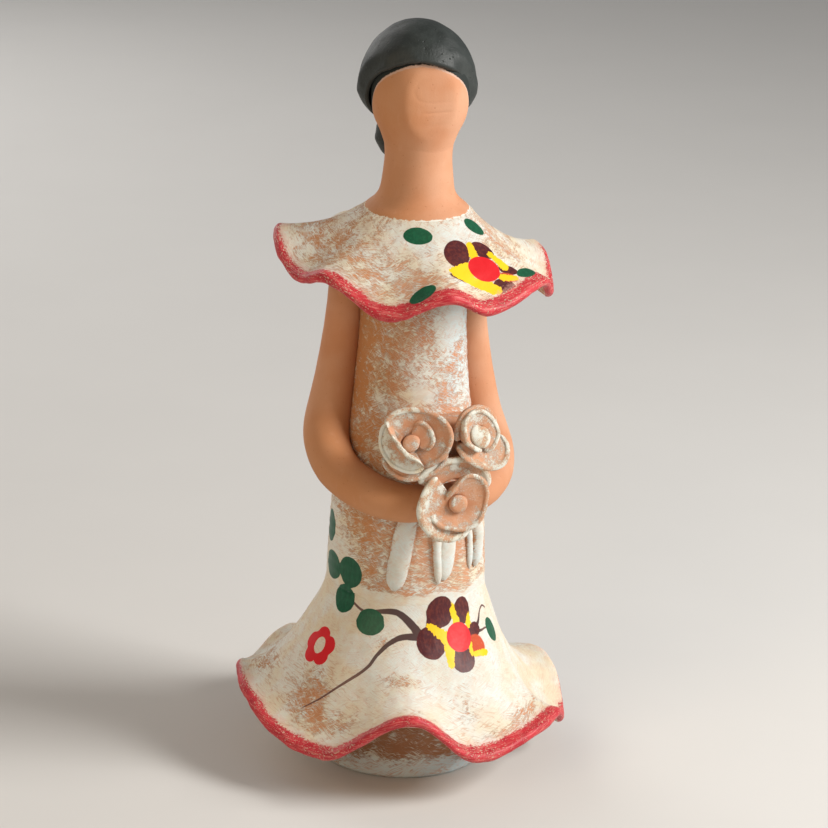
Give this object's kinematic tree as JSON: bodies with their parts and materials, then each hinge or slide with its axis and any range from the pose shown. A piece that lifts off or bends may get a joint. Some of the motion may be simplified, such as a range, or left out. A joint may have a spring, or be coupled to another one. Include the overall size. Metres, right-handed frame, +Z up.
{
  "type": "folk clay doll figurine",
  "caption": "Standing faceless clay doll in a painted dress with a ruffled collar and flared hem, holding a bunch of rolled clay roses.",
  "frame": {"origin": "centre of the base on the ground plane, on the body column's axis", "axes": "+Z up along the body column, -Y the way the doll faces, +X the doll's left hand"},
  "size_m": [0.1097, 0.1091, 0.2482],
  "materials": {
    "painted_dress": "off-white paint dry-brushed over terracotta, with painted flowers and red rims",
    "bare_terracotta": "unglazed smoothed terracotta",
    "rose_clay": "terracotta with white paint wiped over it",
    "painted_hair": "satin charcoal paint on clay"
  },
  "bodies": {
    "root": {"body_column": "painted_dress", "skirt_flounce": "painted_dress", "collar_ruffle": "painted_dress", "neck_and_shoulders": "bare_terracotta", "head": "bare_terracotta", "hair_cap": "painted_hair", "hair_bun": "painted_hair", "right_arm": "bare_terracotta", "left_arm": "bare_terracotta", "bouquet_pad": "rose_clay", "rose_left_bud": "rose_clay", "rose_left_inner_petal": "rose_clay", "rose_left_middle_petal": "rose_clay", "rose_left_outer_petal": "rose_clay", "rose_right_bud": "rose_clay", "rose_right_inner_petal": "rose_clay", "rose_right_middle_petal": "rose_clay", "rose_right_outer_petal": "rose_clay", "rose_low_bud": "rose_clay", "rose_low_inner_petal": "rose_clay", "rose_low_middle_petal": "rose_clay", "rose_low_outer_petal": "rose_clay", "stem_far_left": "painted_dress", "stem_middle_left": "painted_dress", "stem_middle_right": "painted_dress", "stem_right_inner": "painted_dress", "stem_far_right": "painted_dress"}
  },
  "joints": []
}
